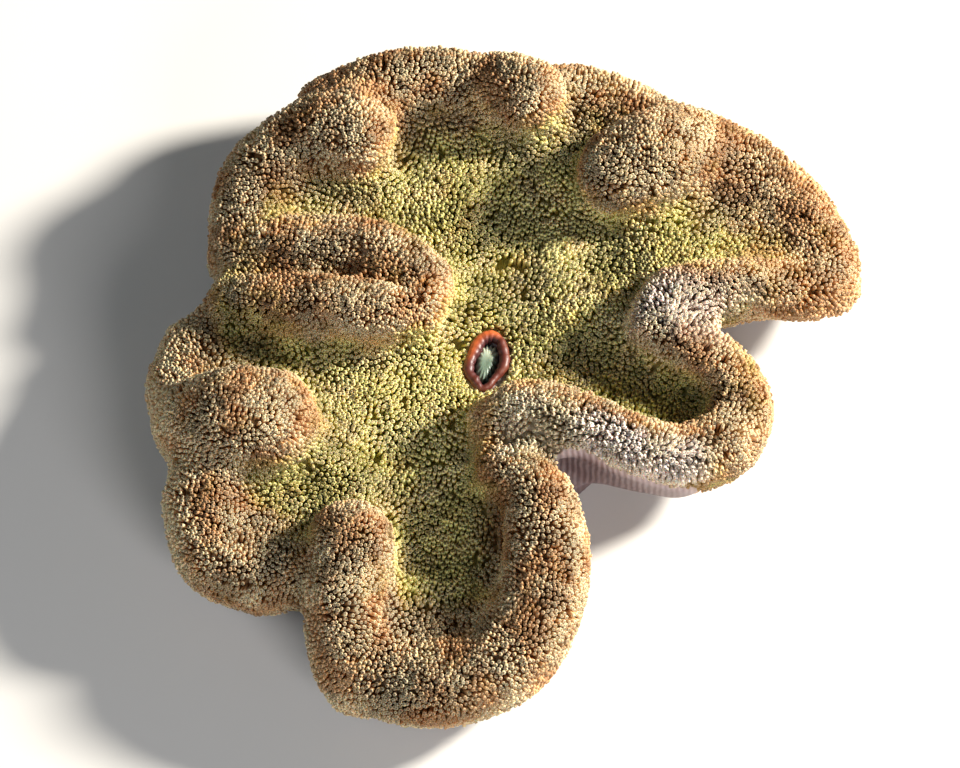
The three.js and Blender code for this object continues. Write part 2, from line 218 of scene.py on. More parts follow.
def surface_of(mesh, points):
    """The mesh's faces laid over the given points, for finding the nearest place"""
    return BVHTree.FromPolygons(points.tolist(), triangles_of(mesh).tolist())


def normals_of(points, triangles):
    a, b, c = (points[triangles[:, i]] for i in range(3))
    face = np.cross(b - a, c - a)
    total = sum(gather(triangles[:, i], face, len(points)) for i in range(3))
    return unit(total)


def neighbour_mean(values, edges):
    count = len(values)
    both = np.concatenate([edges, edges[:, ::-1]])
    degree = np.maximum(np.bincount(both[:, 0], minlength=count), 1)
    return gather(both[:, 0], values[both[:, 1]], count) / degree[:, None]


def eased(values, edges, turns, share=0.5):
    """Values evened out over the mesh"""
    for _ in range(turns):
        values = values + share * (neighbour_mean(values, edges) - values)
    return values


def rounded(points, edges, turns):
    """Points smoothed without shrinking, which takes the facets out of the solids"""
    for _ in range(turns):
        points = eased(points, edges, 1, 0.5)
        points = eased(points, edges, 1, -0.52)
    return points


def joined_copy(nodes, name, swell):
    """One mesh of copies of the nodes, each swollen a little to close the cuts between them"""
    copies = []
    for node in nodes:
        bm = bmesh.new()
        bm.from_mesh(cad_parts[node].data)
        bmesh.ops.remove_doubles(bm, verts=bm.verts, dist=0.005 * MM)
        bm.normal_update()
        moved = [vert.co + vert.normal * swell for vert in bm.verts]
        for vert, place in zip(bm.verts, moved):
            vert.co = place
        mesh = bpy.data.meshes.new(name)
        bm.to_mesh(mesh)
        bm.free()
        copy = bpy.data.objects.new(name, mesh)
        bpy.context.scene.collection.objects.link(copy)
        copies.append(copy)
    pick(*copies)
    bpy.ops.object.join()
    return bpy.context.view_layer.objects.active


def keep_largest_shell(mesh):
    edges = edges_of(mesh)
    label = np.arange(len(mesh.vertices))
    while True:
        low = np.minimum(label[edges[:, 0]], label[edges[:, 1]])
        new = label.copy()
        np.minimum.at(new, edges[:, 0], low)
        np.minimum.at(new, edges[:, 1], low)
        new = new[new]
        if (new == label).all():
            break
        label = new
    main = np.bincount(label).argmax()
    bm = bmesh.new()
    bm.from_mesh(mesh)
    bm.verts.ensure_lookup_table()
    stray = [bm.verts[i] for i in np.flatnonzero(label != main)]
    bmesh.ops.delete(bm, geom=stray, context="VERTS")
    bm.to_mesh(mesh)
    bm.free()


def set_attribute(mesh, name, kind, values):
    field = {"FLOAT": "value", "FLOAT_COLOR": "color", "FLOAT_VECTOR": "vector"}[kind]
    layer = mesh.attributes.new(name, kind, "POINT")
    layer.data.foreach_set(field, np.asarray(values, np.float32).ravel())


def get_attribute(mesh, name, width):
    field = {1: "value", 3: "vector", 4: "color"}[width]
    out = np.empty(len(mesh.vertices) * width, np.float32)
    mesh.attributes[name].data.foreach_get(field, out)
    return out.reshape(-1, width) if width > 1 else out


def stand_for(piece, nodes=()):
    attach(piece, "root")
    if nodes:
        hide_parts(*nodes)


# ---- The animal's lie of coat and colour, with painted light and shade -----------------------

# The long south-east fold's crest in plan, whose outer face is bare below its rim.
BARE_CREST_X = np.array([4, 20, 48, 82, 108, 128]) * MM
BARE_CREST_Y = np.array([-42, -37, -45, -60, -63, -61]) * MM
BARE_RIM_Z = np.array([68, 78, 81, 71, 58, 36]) * MM


def mouth_oval(points):
    """How far out each point is, where the line of the lips counts as 1"""
    away = points[:, :2] - np.array(MOUTH_CENTRE[:2])
    cos, sin = math.cos(-MOUTH_TURN), math.sin(-MOUTH_TURN)
    across = away[:, 0] * cos - away[:, 1] * sin
    along = away[:, 0] * sin + away[:, 1] * cos
    return np.hypot(across / LIP_ACROSS, along / LIP_ALONG)


def beyond_long_fold(points):
    """How far out each point lies from the long south-east fold's crest, in plan"""
    return np.interp(points[:, 0], BARE_CREST_X, BARE_CREST_Y) - points[:, 1]


def long_fold_face(points):
    """1 on the outer face of the long south-east fold"""
    face = between((0.0, 6 * MM), (30 * MM, 40 * MM), beyond_long_fold(points))
    return face * between((-20 * MM, 0.0), (110 * MM, 125 * MM), points[:, 0])


def coat_share(points, normals):
    """1 where the surface bears tentacles, 0 on the bare underside, column and mouth"""
    x, y, z = points.T
    share = ramp(-0.85, -0.5, normals[:, 2])
    share *= np.maximum(ramp(88 * MM, 98 * MM, np.hypot(x, y)), ramp(30 * MM, 40 * MM, z))
    bare = between((4 * MM, 8 * MM), (24 * MM, 30 * MM), beyond_long_fold(points))
    bare *= between((-6 * MM, 4 * MM), (112 * MM, 130 * MM), x)
    above_rim = z - np.interp(x, BARE_CREST_X, BARE_RIM_Z)
    bare *= ramp(0.1, 0.35, -normals[:, 1]) * (1 - ramp(-3 * MM, 3 * MM, above_rim))
    share *= 1 - bare
    return share * ramp(1.15, 1.3, mouth_oval(points))


def drift(points, size, seed):
    """Smooth wandering value from 0 to 1 over the body"""
    shift = Vector((seed * 3.1, seed * 1.7, seed * 2.3))
    values = [noise.noise(Vector(p) / size + shift) for p in points]
    return np.clip(0.5 + np.array(values) * 0.9, 0.0, 1.0)


def hill(x, y, middle, half_width):
    """1 at the middle of an oval patch in plan, falling away over its half-widths"""
    return np.exp(
        -(((x - middle[0]) / half_width[0]) ** 2 + ((y - middle[1]) / half_width[1]) ** 2)
    )


def markings(points):
    """Rust, lilac and cream shares of the flesh at points on the tips' surface, with painted light
    and shade in the cream and lilac.

    Lengths are in millimetres here."""
    x, y, z = points.T / MM
    reach = np.hypot(x, y)
    outside = beyond_long_fold(points) / MM
    wander = drift(points, 28 * MM, 1)
    fine = drift(points, 9 * MM, 2)
    patch = drift(points, 19 * MM, 5)
    # The long south-east fold is pale from its crest down its outer face, khaki to the west and
    # lilac to the east: its matted tips are pale, and made paler still as painted light on a face
    # that the main light leaves in shade. A second lilac patch lies where the eastern arms meet.
    flank = between((-10, 0), (26, 34), outside) * ramp(55, 64, z)
    flank *= between((-5, 12), (112, 135), x)

    # The crests, the margin and the outer walls are rust, and the open disc is khaki, as is the
    # valley between the north-east knob and the east arm.
    rust = ramp(54, 84, z + 14 * (wander - 0.5))
    rust = np.maximum(rust, ramp(125, 165, reach + 24 * (wander - 0.5)))
    rust = np.maximum(rust, ramp(6, 18, outside) * ramp(-10, 10, x))
    rust = np.maximum(rust, (1 - ramp(38, 50, z)) * ramp(98, 112, reach))
    rust *= 1 - 0.8 * hill(x, y, (122, 70), (42, 20))
    rust = np.clip(rust + 0.5 * (fine - 0.5), 0, 1) * (1 - 0.55 * flank)

    arms = hill(x, y, (104, 24), (40, 24))
    lilac = np.maximum(1.3 * arms, flank * (0.8 + 0.35 * ramp(30, 75, x)))
    lilac = np.clip(lilac - 0.4 * wander, 0, 1) * ramp(52, 64, z)

    # Radial streaks near the margin, patches of pale tips on the domes, and plain rust tips
    # between them.
    streaks = 0.5 + 0.5 * np.sin(np.arctan2(y, x) * 21 + 5 * wander)
    cream = ramp(0.45, 0.95, streaks) * ramp(95, 150, reach) * 0.8
    cream = cream + 0.4 * ramp(0.5, 0.85, fine) + 0.8 * flank * (1 - ramp(40, 80, x))
    # Paler tips on the highest crests: painted light where the light catches their tops.
    cream = cream + 0.35 * ramp(84, 100, z)
    cream = cream + 0.2 + 0.45 * ramp(0.5, 0.75, patch) - 0.6 * (1 - ramp(0.25, 0.45, patch))
    # Fewer pale tips to the east: painted shade on the side that faces the main light.
    cream *= 1 - 0.6 * ramp(90, 160, x)
    # More pale tips on the western edge: painted light on the margin that faces away from the main
    # light.
    cream = cream + 0.5 * ramp(150, 178, -x)
    return np.stack([rust, lilac, np.clip(cream, 0, 1)], axis=1)


# ---- Materials -------------------------------------------------------------------------------


class Nodes:
    """Short hand for building one material's nodes"""

    def __init__(self, name):
        self.material = bpy.data.materials.new(name)
        self.material.use_nodes = True
        self.tree = self.material.node_tree
        self.tree.nodes.clear()
        self.shader = self.tree.nodes.new("ShaderNodeBsdfPrincipled")
        out = self.tree.nodes.new("ShaderNodeOutputMaterial")
        self.link(self.shader.outputs["BSDF"], out.inputs["Surface"])

    def link(self, source, target):
        self.tree.links.new(source, target)

    def feed(self, socket, value):
        if isinstance(value, bpy.types.NodeSocket):
            self.link(value, socket)
        elif isinstance(value, (int, float)):
            socket.default_value = value
        else:
            socket.default_value = (*value, 1.0)[:4]

    def attribute(self, name):
        node = self.tree.nodes.new("ShaderNodeAttribute")
        node.attribute_name = name
        return node

    def channels(self, name):
        node = self.attribute(name)
        parts = self.tree.nodes.new("ShaderNodeSeparateColor")
        self.link(node.outputs["Color"], parts.inputs["Color"])
        return (*parts.outputs, node.outputs["Alpha"])

    def mix(self, share, first, second, blend="MIX"):
        node = self.tree.nodes.new("ShaderNodeMix")
        node.data_type = "RGBA"
        node.blend_type = blend
        self.feed(node.inputs["Factor"], share)
        self.feed(node.inputs[6], first)
        self.feed(node.inputs[7], second)
        return node.outputs[2]

    def math(self, operation, *values):
        node = self.tree.nodes.new("ShaderNodeMath")
        node.operation = operation
        for socket, value in zip(node.inputs, values):
            self.feed(socket, value)
        return node.outputs[0]

    def steps(self, value, *stops):
        """Grey ramp through (place, grey) stops"""
        node = self.tree.nodes.new("ShaderNodeValToRGB")
        ends = node.color_ramp.elements
        while len(ends) < len(stops):
            ends.new(0.5)
        for end, (place, grey) in zip(ends, stops):
            end.position = place
            end.color = (grey, grey, grey, 1.0)
        self.link(value, node.inputs["Fac"])
        return node.outputs["Color"]

    def place(self):
        return self.tree.nodes.new("ShaderNodeTexCoord").outputs["Object"]

    def noise(self, scale, detail=3.0):
        node = self.tree.nodes.new("ShaderNodeTexNoise")
        node.inputs["Scale"].default_value = scale
        node.inputs["Detail"].default_value = detail
        self.link(self.place(), node.inputs["Vector"])
        return node.outputs["Fac"]

    def ribs(self, pitch, front):
        """Soft ribs up and down the sides: square to the long fold's outer face where front is 1,
        and round the body elsewhere"""
        parts = self.tree.nodes.new("ShaderNodeSeparateXYZ")
        self.link(self.place(), parts.inputs[0])
        x, y, _ = parts.outputs
        wander = self.math("MULTIPLY", self.noise(90.0, 1.0), 4.0)
        across = self.math("MULTIPLY", x, 2 * math.pi / pitch)
        ribs_round = round(2 * math.pi * RIBBED_RADIUS / pitch)
        turn = self.math("MULTIPLY", self.math("ARCTAN2", y, x), ribs_round)
        waves = [
            self.math("MULTIPLY_ADD", self.math("SINE", self.math("ADD", phase, wander)), 0.5, 0.5)
            for phase in (across, turn)
        ]
        step = self.math("SUBTRACT", waves[0], waves[1])
        return self.math("MULTIPLY_ADD", step, front, waves[1])

    def bump(self, height, distance, strength=1.0):
        node = self.tree.nodes.new("ShaderNodeBump")
        node.inputs["Distance"].default_value = distance
        node.inputs["Strength"].default_value = strength
        self.link(height, node.inputs["Height"])
        self.link(node.outputs["Normal"], self.shader.inputs["Normal"])

    def soften(self, weight, depth):
        """Let light soak into the flesh, reddest deepest"""
        self.shader.inputs["Subsurface Weight"].default_value = weight
        self.shader.inputs["Subsurface Radius"].default_value = (1.0, 0.55, 0.3)
        self.shader.inputs["Subsurface Scale"].default_value = depth

    def finish(self, colour, roughness, coat=0.0, coat_roughness=0.2):
        self.feed(self.shader.inputs["Base Color"], colour)
        self.feed(self.shader.inputs["Roughness"], roughness)
        self.shader.inputs["Coat Weight"].default_value = coat
        self.shader.inputs["Coat Roughness"].default_value = coat_roughness
        return self.material


def dimmed(colour, share):
    return tuple(share * channel for channel in colour)


def tentacle_material(colours):
    """Stems and tips by the flesh's markings, with a pale rim and a dark pore at each tip.

    The roots and the pores' dimples are darkened with painted shade.
    """
    nodes = Nodes("tentacle_flesh")
    rust, lilac, cream, shade = nodes.channels("marks")
    along = nodes.attribute("along").outputs["Fac"]
    tip = nodes.mix(nodes.steps(rust, (0.0, 0.0), (0.5, 1.0)), colours.valley, colours.gold)
    tip = nodes.mix(nodes.steps(rust, (0.4, 0.0), (0.9, 1.0)), tip, colours.crest)
    tip = nodes.mix(lilac, tip, colours.lilac)
    own = nodes.math("MULTIPLY_ADD", shade, 0.25, nodes.math("MULTIPLY", cream, 0.5))
    creamy = nodes.math("MULTIPLY_ADD", rust, 0.55, 0.4)
    tip = nodes.mix(nodes.math("MULTIPLY", own, creamy), tip, colours.cream)
    stem = nodes.mix(rust, colours.moss, colours.stem)
    stem = nodes.mix(nodes.math("MULTIPLY", lilac, 0.9), stem, colours.lilac)
    # Towards the root the stems on the crests turn dimmed mauve: the flesh's own purple, darkened
    # as painted shade between the tentacles.
    root = nodes.steps(along, (0.0, 1.0), (0.5, 0.0))
    root = nodes.mix(root, stem, dimmed(colours.mauve, 0.7))
    stem = nodes.mix(nodes.math("MULTIPLY", rust, 0.6), stem, root)
    body = nodes.mix(nodes.steps(along, (0.3, 0.0), (0.88, 1.0)), stem, tip)
    pale = nodes.math("MULTIPLY_ADD", cream, 0.75, 0.2)
    rim = nodes.math("MULTIPLY", nodes.steps(along, (0.86, 0.0), (0.95, 0.9)), pale)
    body = nodes.mix(rim, body, nodes.mix(creamy, tip, colours.cream))
    # The dark centre at each tip is the pore, darkened as painted shade in the tip's dimple.
    pore_and_dimple_shade = nodes.steps(along, (0.971, 0.0), (0.981, 0.8))
    body = nodes.mix(pore_and_dimple_shade, body, dimmed(colours.stem, 0.16))
    light = nodes.math("MULTIPLY_ADD", shade, 0.5, 0.5)
    body = nodes.mix(1.0, body, nodes.steps(light, (0.0, 0.0), (1.0, 1.0)), "MULTIPLY")
    nodes.soften(0.4, 2.0 * MM)
    nodes.shader.inputs["Specular IOR Level"].default_value = 0.25
    return nodes.finish(body, 0.55)


def skin_material(colours):
    """Rust or moss under the tentacles, ribbed mauve below them; painted shade in gaps and down
    the column
    """
    nodes = Nodes("body_flesh")
    rust, lilac, _, _ = nodes.channels("marks")
    coat = nodes.attribute("coat").outputs["Fac"]
    band = nodes.attribute("band").outputs["Fac"]
    # The skin between the tentacles is a half-dimmed copy of their colours: painted shade in the
    # gaps.
    under = nodes.mix(rust, dimmed(colours.moss, 0.5), dimmed(colours.stem, 0.5))
    matted = nodes.math("MULTIPLY", lilac, 0.7)
    under = nodes.mix(matted, under, dimmed(colours.lilac, 0.5))
    ribs = nodes.ribs(RIB_PITCH, nodes.attribute("front").outputs["Fac"])
    blotches = nodes.noise(60.0)
    # Below the bright band the bare flesh turns dimmed mauve with maroon blotches: painted shade
    # where the fold curls under, and down the column.
    low = nodes.mix(blotches, dimmed(colours.mauve, 0.5), colours.maroon)
    bare = nodes.mix(band, low, colours.mauve)
    # The ribs' grooves are painted towards that dim colour: painted shade in the grooves.
    groove = nodes.math("MULTIPLY", nodes.math("SUBTRACT", 1.0, ribs), 0.5)
    bare = nodes.mix(groove, bare, low)
    colour = nodes.mix(nodes.steps(coat, (0.05, 0.0), (0.6, 1.0)), bare, under)
    nodes.bump(nodes.math("MULTIPLY_ADD", nodes.noise(420.0, 2.0), 0.3, ribs), 0.6 * MM, 0.7)
    nodes.soften(0.2, 2.0 * MM)
    return nodes.finish(colour, 0.5, coat=0.15, coat_roughness=0.3)


# ---- Skin ------------------------------------------------------------------------------------

SKIN_VOXEL = 3 * MM
RIB_PITCH = 3.2 * MM
RIBBED_RADIUS = 100 * MM  # where the ribs that run round the body are a pitch apart
SWELL = 0.5 * MM
# How many times each is evened out over the mesh.
ROUNDING_TURNS = 60
NORMAL_TURNS = 4
SHARE_TURNS = 3
SKIN_TURNS = 2
BAND_TURNS = 30


class ANEMONE_OT_skin(bpy.types.Operator):
    """Draw one seamless skin inside the body's solids, sunk by the tentacles' length"""

    bl_idname = "anemone.skin"
    bl_label = "Skin"

    def execute(self, context):
        depth = context.scene.anemone_coat.length
        skin = joined_copy(FLESH_NODES, "body_skin", SWELL)
        skin.data.remesh_voxel_size = SKIN_VOXEL
        bpy.ops.object.voxel_remesh()
        keep_largest_shell(skin.data)
        mesh = skin.data
        edges, triangles = edges_of(mesh), triangles_of(mesh)
        tips = rounded(points_of(mesh), edges, ROUNDING_TURNS)
        tips -= SWELL * normals_of(tips, triangles)
        tips[:, 2] = np.maximum(tips[:, 2], 0.0)
        normals = unit(eased(normals_of(tips, triangles), edges, NORMAL_TURNS))
        share = eased(coat_share(tips, normals)[:, None], edges, SHARE_TURNS)
        skin_points = eased(tips - normals * depth * share, edges, SKIN_TURNS)
        mesh.vertices.foreach_set("co", skin_points.ravel())
        mesh.update()
        set_attribute(mesh, "to_tips", "FLOAT_VECTOR", tips - skin_points)
        set_attribute(mesh, "coat", "FLOAT", share)
        # The band is the bright bare flesh just below the coat; the material paints shade below
        # it.
        band = ramp(0.08, 0.4, eased(share, edges, BAND_TURNS)[:, 0])
        set_attribute(mesh, "band", "FLOAT", band)
        set_attribute(mesh, "front", "FLOAT", long_fold_face(tips))
        marks = np.concatenate([markings(tips), np.full((len(tips), 1), 0.5)], axis=1)
        set_attribute(mesh, "marks", "FLOAT_COLOR", marks)
        bpy.ops.object.mode_set(mode="EDIT")
        bpy.ops.mesh.select_all(action="SELECT")
        bpy.ops.uv.smart_project(angle_limit=math.radians(66), island_margin=0.002)
        bpy.ops.object.mode_set(mode="OBJECT")
        mesh.uv_layers.active.name = "OFBake"
        mesh.shade_smooth()
        mesh.materials.clear()
        mesh.materials.append(skin_material(context.scene.anemone_colours))
        stand_for(skin, FLESH_NODES)
        return {"FINISHED"}


# ---- Tentacles -------------------------------------------------------------------------------

# Places are eased apart this many times, each from so many neighbours, towards the spacing times
# this reach, by this share of what is lacking.
SPREAD_TURNS = 8
NEIGHBOURS = 6
PUSH_REACH = 1.12
PUSH_SHARE = 0.3
LEAST_COAT = 0.35  # least share of the coat where a tentacle grows
LEAST_OVAL = 1.25  # and how far out from the line of the lips

CLUMP_SIZE = 7 * MM
CLUMP_LEAN = 1.4 * MM
STRAY_LEAN = 0.35 * MM
MATTED_LEAN = 0.9
SWAY_SIZE = 34 * MM
SWAY = 4.5 * MM
BEND = 0.35 * MM
ROOT_SUNK = 0.5 * MM
TIP_SUNK = (-0.3, 1.5)  # in millimetres, at random
CLUMP_SUNK = 1.2  # in millimetres, where a clump leans most
GIRTH = (0.82, 1.14)
PATCH_RADIUS = 0.0015  # of a root on the unwrap
BRIGHT_MIDDLE = np.array([-30, -20]) * MM  # plan centre of the disc's brightest tentacles
ROUND = 6  # sides of a tentacle
# Each ring from the root up: distance below the tip, radius as a share of the knob's, and how far
# up the tentacle its colour counts. The root's own ring has the stem's radius.
KNOB_RINGS = (
    (None, None, 0.0),
    (2.2 * MM, 0.9, 0.6),
    (0.6 * MM, 1.0, 0.88),
    (0.0 * MM, 0.74, 0.97),
)
LEAST_RISE = 0.1 * MM  # from ring to ring, where a tentacle is very short
DIMPLE = 0.4 * MM


def one_tentacle():
    """A tentacle modelled once, with unit rings from the root to the knob's dimpled tip.

    Its points are given across it, with each point's ring, how far up its colour counts, which
    point is the dimple, and its faces."""
    rings = len(KNOB_RINGS)
    clear_selection()
    bpy.ops.mesh.primitive_circle_add(vertices=ROUND, radius=1.0, fill_type="NGON")
    model = bpy.context.object
    bpy.ops.object.mode_set(mode="EDIT")
    bpy.ops.mesh.select_all(action="SELECT")
    for _ in range(rings - 1):
        bpy.ops.mesh.extrude_region_move(TRANSFORM_OT_translate={"value": (0, 0, 1)})
    bpy.ops.mesh.poke()
    bpy.ops.mesh.select_all(action="SELECT")
    bpy.ops.mesh.normals_make_consistent(inside=False)
    bpy.ops.object.mode_set(mode="OBJECT")
    points = points_of(model.data)
    faces = sorted(tuple(face.vertices) for face in model.data.polygons)
    bpy.data.objects.remove(model)
    ring = np.rint(points[:, 2]).astype(int)
    dimple = np.hypot(points[:, 0], points[:, 1]) < 0.1
    along = np.where(dimple, 1.0, np.array([colour for _, _, colour in KNOB_RINGS])[ring])
    return {
        "across": points[:, :2],
        "ring": ring,
        "along": along,
        "dimple": dimple,
        "faces": faces,
    }


def spread(skin, spacing, rng):
    """Even but irregular places on the surface of the tips, which no two share"""
    mesh = skin.data
    base = points_of(mesh)
    tips = base + get_attribute(mesh, "to_tips", 3)
    coat = get_attribute(mesh, "coat", 1)
    triangles = triangles_of(mesh)
    normals = normals_of(tips, triangles)
    a, b, c = (tips[triangles[:, i]] for i in range(3))
    area = np.linalg.norm(np.cross(b - a, c - a), axis=1) / 2
    area *= coat[triangles].mean(1) > LEAST_COAT
    count = int(area.sum() / (math.sqrt(3) / 2 * spacing**2))
    chosen = np.searchsorted(np.cumsum(area), rng.random(count) * area.sum())
    u, v = rng.random((2, count))
    turned = u + v > 1
    u[turned], v[turned] = 1 - u[turned], 1 - v[turned]
    places = a[chosen] + (b - a)[chosen] * u[:, None] + (c - a)[chosen] * v[:, None]
    surface = surface_of(mesh, tips)
    for _ in range(SPREAD_TURNS):
        tree = KDTree(count)
        for i, place in enumerate(places):
            tree.insert(place, i)
        tree.balance()
        near = [[j for _, j, _ in tree.find_n(p, NEIGHBOURS + 1)] for p in places]
        near = np.array(near)[:, 1:]
        away = places[:, None] - places[near]
        gap = np.linalg.norm(away, axis=2, keepdims=True)
        push = np.maximum(PUSH_REACH * spacing - gap, 0) * away / np.maximum(gap, 1e-9)
        places = places + PUSH_SHARE * push.sum(1)
        hits = [surface.find_nearest(p) for p in places]
        places = np.array([hit[0] for hit in hits])
    face = np.array([hit[2] for hit in hits])
    corners = triangles[face]
    # Barycentric shares of each place in its triangle.
    a, b, c = (tips[corners[:, i]] for i in range(3))
    whole = np.cross(b - a, c - a)
    size = np.maximum((whole**2).sum(1), 1e-30)
    share_b = (np.cross(places - a, c - a) * whole).sum(1) / size
    share_c = (np.cross(b - a, places - a) * whole).sum(1) / size
    shares = np.clip(np.stack([1 - share_b - share_c, share_b, share_c], axis=1), 0, 1)
    shares /= shares.sum(1, keepdims=True)

    def read(values):
        return (values[corners] * shares[..., None]).sum(1)

    loop_uv = np.empty(len(mesh.loops) * 2)
    mesh.uv_layers["OFBake"].uv.foreach_get("vector", loop_uv)
    loops = np.empty(len(mesh.loop_triangles) * 3, np.int32)
    mesh.loop_triangles.foreach_get("loops", loops)
    patch = loop_uv.reshape(-1, 2)[loops.reshape(-1, 3)[face]]
    patch = (patch * shares[..., None]).sum(1)
    keep = (read(coat[:, None])[:, 0] > LEAST_COAT) & (mouth_oval(places) > LEAST_OVAL)
    found = {
        "tip": places,
        "root": read(base),
        "normal": unit(read(normals)),
        "patch": patch,
        "marks": read(get_attribute(mesh, "marks", 4)[:, :3]),
    }
    return {key: value[keep] for key, value in found.items()}


def side_frames(direction, rng):
    """Two vectors across each direction, turned at random"""
    spare = np.where(np.abs(direction[:, 2:]) < 0.8, [[0.0, 0.0, 1.0]], [[1.0, 0.0, 0.0]])
    first = unit(np.cross(direction, spare))
    second = np.cross(direction, first)
    turn = rng.random((len(direction), 1)) * 2 * math.pi
    return (
        first * np.cos(turn) + second * np.sin(turn),
        second * np.cos(turn) - first * np.sin(turn),
    )


def nearest_nodes(places):
    """Which flesh node each place lies on, as an index into FLESH_NODES"""
    best = np.full(len(places), np.inf)
    owner = np.zeros(len(places), int)
    for index, node in enumerate(FLESH_NODES):
        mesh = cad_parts[node].data
        surface = surface_of(mesh, points_of(mesh))
        away = np.array([surface.find_nearest(p)[3] for p in places])
        owner[away < best] = index
        best = np.minimum(best, away)
    return owner


def middle_share(places):
    """1 in the open middle of the disc, where the tentacles are thickest and brightest"""
    away = np.linalg.norm(places[:, :2] - BRIGHT_MIDDLE, axis=1)
    return 1 - ramp(20 * MM, 75 * MM, away)


def roots_and_tips(coat, skin, rng):
    """Ends of the tentacles, whose tips lean in clumps and whose roots sway together"""
    normal = coat["normal"]
    clump = np.array([noise.noise_vector(Vector(p) / CLUMP_SIZE) for p in coat["tip"]])
    lean = rng.normal(size=normal.shape) * STRAY_LEAN + clump * CLUMP_LEAN
    lean = flattened(lean, normal) * (1 + MATTED_LEAN * coat["marks"][:, 1:2])
    sunk = rng.uniform(*TIP_SUNK, (len(normal), 1)) * MM + np.abs(clump[:, :1]) * CLUMP_SUNK * MM
    tip = coat["tip"] + lean - normal * sunk
    sway = np.array([noise.noise_vector(Vector(p) / SWAY_SIZE) for p in coat["tip"]]) * SWAY
    sway = flattened(sway, normal)
    surface = surface_of(skin.data, points_of(skin.data))
    root = np.array([surface.find_nearest(p)[0] for p in coat["root"] - sway])
    return root - normal * ROOT_SUNK, tip


def laid_out(model, coat, root, tip, sizes, rng):
    """The model's points laid along every tentacle.

    They are a little stouter on the open flesh and in the middle, and thinner where matted."""
    count = len(root)
    ring, dimple = model["ring"], model["dimple"]
    reach = tip - root
    length = np.linalg.norm(reach, axis=1)
    direction = reach / length[:, None]
    first, second = side_frames(direction, rng)
    rust, lilac, _ = coat["marks"].T
    stout = np.maximum(middle_share(coat["tip"]), 1 - rust)
    girth = rng.uniform(*GIRTH, count) * (1 - 0.06 * lilac + 0.07 * stout)
    bend = first * rng.normal(size=(count, 1)) + second * rng.normal(size=(count, 1))
    bend = bend * BEND

    rings = KNOB_RINGS[1:]
    radius = np.array([sizes.stem] + [sizes.knob * share for _, share, _ in rings])
    height = [np.zeros(count)] + [length - below * girth for below, _, _ in rings]
    height = np.maximum(np.stack(height, axis=1), LEAST_RISE * np.arange(len(KNOB_RINGS)))
    up = np.where(dimple, length[:, None] - DIMPLE, height[:, ring])
    wide = np.where(dimple, 0.0, radius[ring]) * girth[:, None]
    bow = np.sin(np.clip(up / length[:, None], 0, 1) * math.pi)
    return (
        root[:, None]
        + direction[:, None] * up[..., None]
        + bend[:, None] * bow[..., None]
        + first[:, None] * (wide * model["across"][:, 0])[..., None]
        + second[:, None] * (wide * model["across"][:, 1])[..., None]
    )


def shades(places, rng):
    """How light each tentacle is, lightest in the disc's middle, with painted light on its west
    edge
    """
    # The western edge is made lighter as painted light, on the margin that faces away from the
    # main light.
    pale = np.maximum(middle_share(places), ramp(150 * MM, 178 * MM, -places[:, 0]))
    shade = 0.5 * rng.random(len(places)) + 0.9 * (drift(places, 13 * MM, 4) - 0.2)
    return np.clip(shade + 0.7 * pale, 0, 1)


class ANEMONE_OT_tentacles(bpy.types.Operator):
    """Plant the knobbed tentacles on the skin, as one joined solid piece for each fold"""

    bl_idname = "anemone.tentacles"
    bl_label = "Tentacles"

    def execute(self, context):
        sizes = context.scene.anemone_coat
        rng = np.random.default_rng(sizes.seed)
        noise.seed_set(sizes.seed)  # 0 would take the clock's time
        skin = bpy.data.objects["body_skin"]
        model = one_tentacle()
        coat = spread(skin, sizes.spacing, rng)
        root, tip = roots_and_tips(coat, skin, rng)
        points = laid_out(model, coat, root, tip, sizes, rng)
        marks = np.column_stack([coat["marks"], shades(coat["tip"], rng)])
        patch_radius = PATCH_RADIUS * np.where(model["dimple"], 0.0, 1.0 - 0.8 * model["along"])
        patch = coat["patch"][:, None] + model["across"] * patch_radius[:, None]
        material = tentacle_material(context.scene.anemone_colours)
        owner = nearest_nodes(coat["tip"])
        for index, node in enumerate(FLESH_NODES):
            members = np.flatnonzero(owner == index)
            if len(members) == 0:
                continue
            name = "tentacles_" + node
            piece = self.build(name, model, points[members], marks[members], patch[members])
            piece.data.materials.append(material)
            stand_for(piece)
        return {"FINISHED"}

    def build(self, name, model, points, marks, patch):
        """One mesh of many copies of the model"""
        faces = model["faces"]
        count, each = points.shape[:2]
        starts = np.cumsum([0] + [len(face) for face in faces])
        corner = np.concatenate([np.array(face) for face in faces])
        corners = (corner[None] + np.arange(count)[:, None] * each).ravel()
        first_loop = (starts[:-1][None] + np.arange(count)[:, None] * starts[-1]).ravel()
        mesh = bpy.data.meshes.new(name)
        mesh.vertices.add(count * each)
        mesh.vertices.foreach_set("co", points.ravel())
        mesh.loops.add(len(corners))
        mesh.loops.foreach_set("vertex_index", corners.astype(np.int32))
        mesh.polygons.add(len(first_loop))
        mesh.polygons.foreach_set("loop_start", first_loop.astype(np.int32))
        layer = mesh.uv_layers.new(name="OFBake")
        layer.uv.foreach_set("vector", patch.reshape(-1, 2)[corners].astype(np.float32).ravel())
        mesh.update(calc_edges=True)
        set_attribute(mesh, "along", "FLOAT", np.tile(model["along"], count))
        set_attribute(mesh, "marks", "FLOAT_COLOR", np.repeat(marks, each, axis=0))
        mesh.shade_smooth()
        piece = bpy.data.objects.new(name, mesh)
        bpy.context.scene.collection.objects.link(piece)
        return piece


# ---- Mouth -----------------------------------------------------------------------------------

